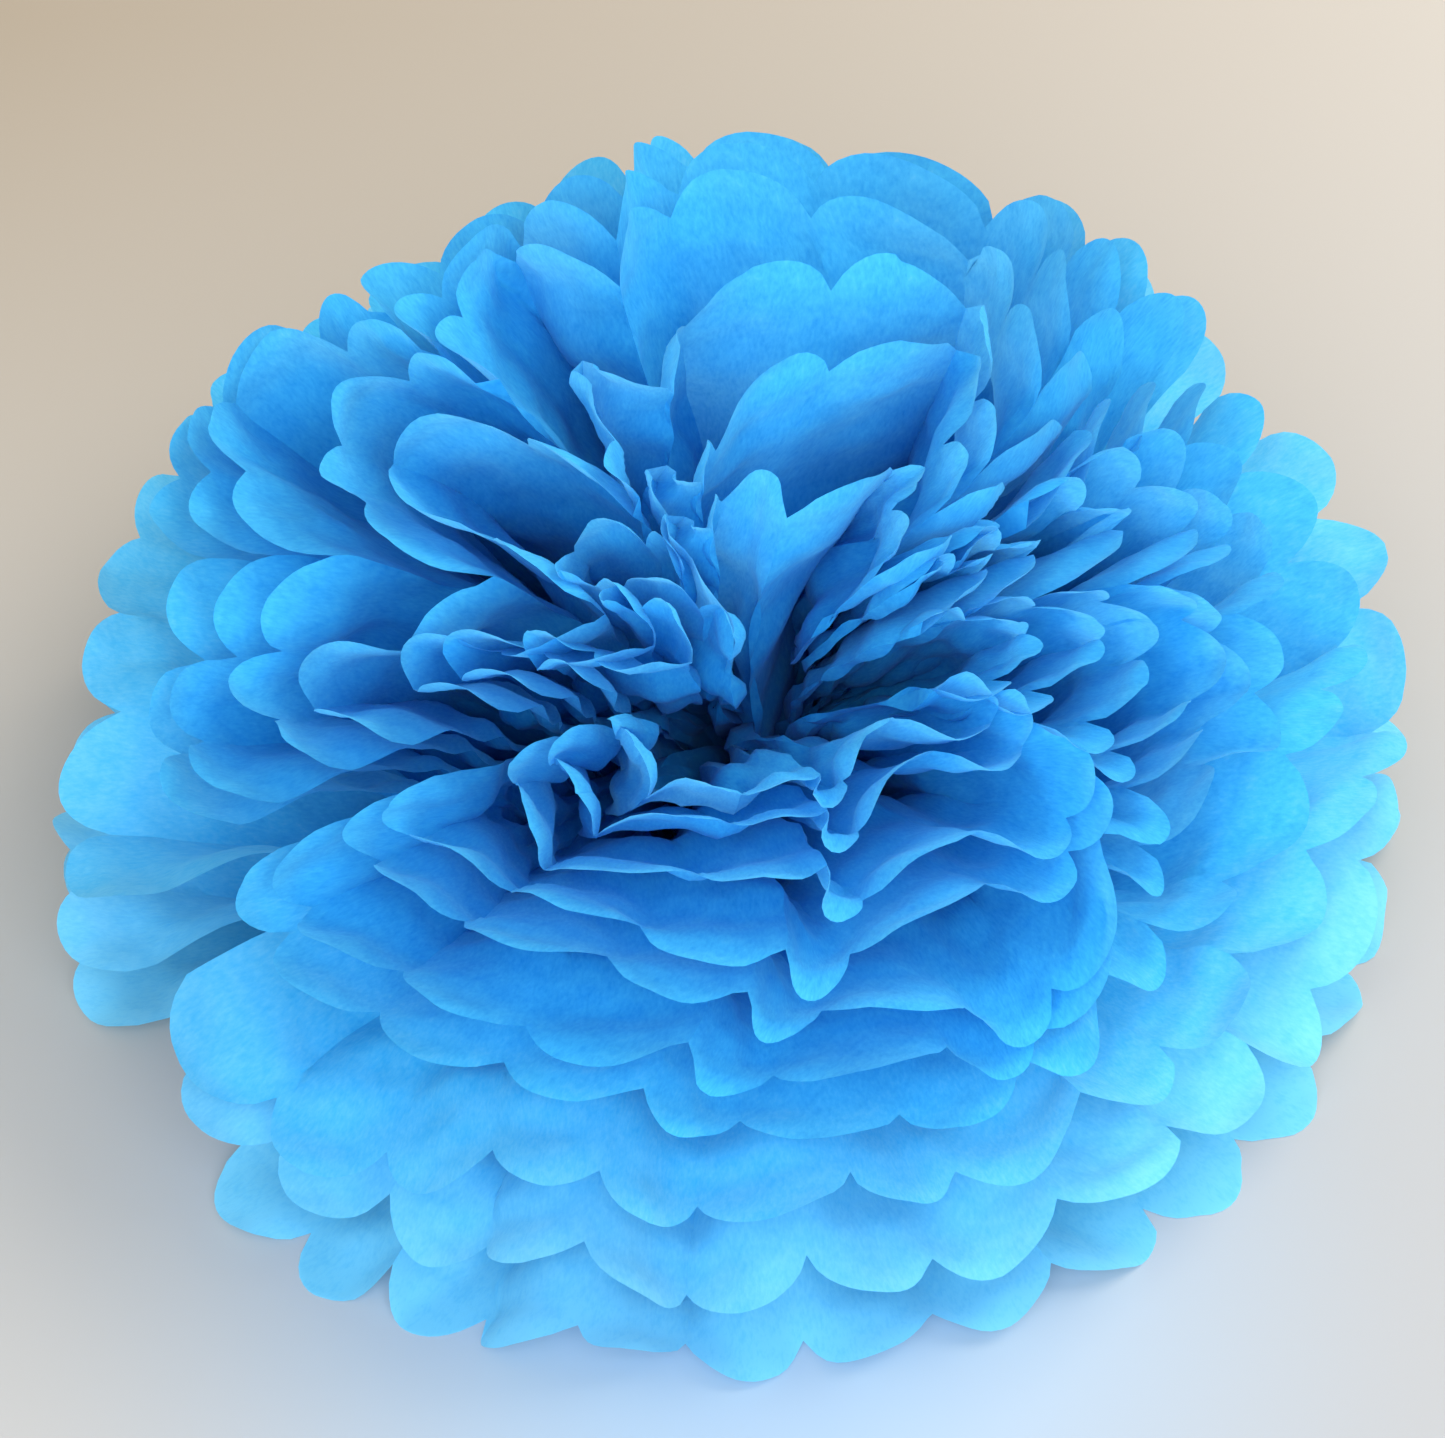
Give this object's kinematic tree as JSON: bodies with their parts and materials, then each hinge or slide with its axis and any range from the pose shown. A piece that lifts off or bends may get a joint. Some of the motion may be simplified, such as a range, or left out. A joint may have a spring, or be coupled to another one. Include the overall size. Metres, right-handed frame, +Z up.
{
  "type": "tissue paper pom pom",
  "caption": "Fluffed tissue paper flower: a stack of pleated tissue sheets with rounded ends, tied at the middle with wire and fanned out into a scalloped dome that lies on a table.",
  "frame": {"origin": "on the table, under the middle of the bounding box", "axes": "+Z up from the table; the innermost sheets lean toward -Y, the side the picture was taken from, and +X is to the right there"},
  "size_m": [0.3132, 0.3054, 0.1703],
  "materials": {
    "tissue_paper": "matt, thin and a little translucent",
    "steel_wire": "plain drawn wire"
  },
  "bodies": {
    "root": {"tissue_sheet_01": "tissue_paper", "tissue_sheet_02": "tissue_paper", "tissue_sheet_03": "tissue_paper", "tissue_sheet_04": "tissue_paper", "tissue_sheet_05": "tissue_paper", "tissue_sheet_06": "tissue_paper", "tissue_sheet_07": "tissue_paper", "tissue_sheet_08": "tissue_paper", "tissue_sheet_09": "tissue_paper", "tissue_sheet_10": "tissue_paper", "tie_wire": "steel_wire"}
  },
  "joints": []
}
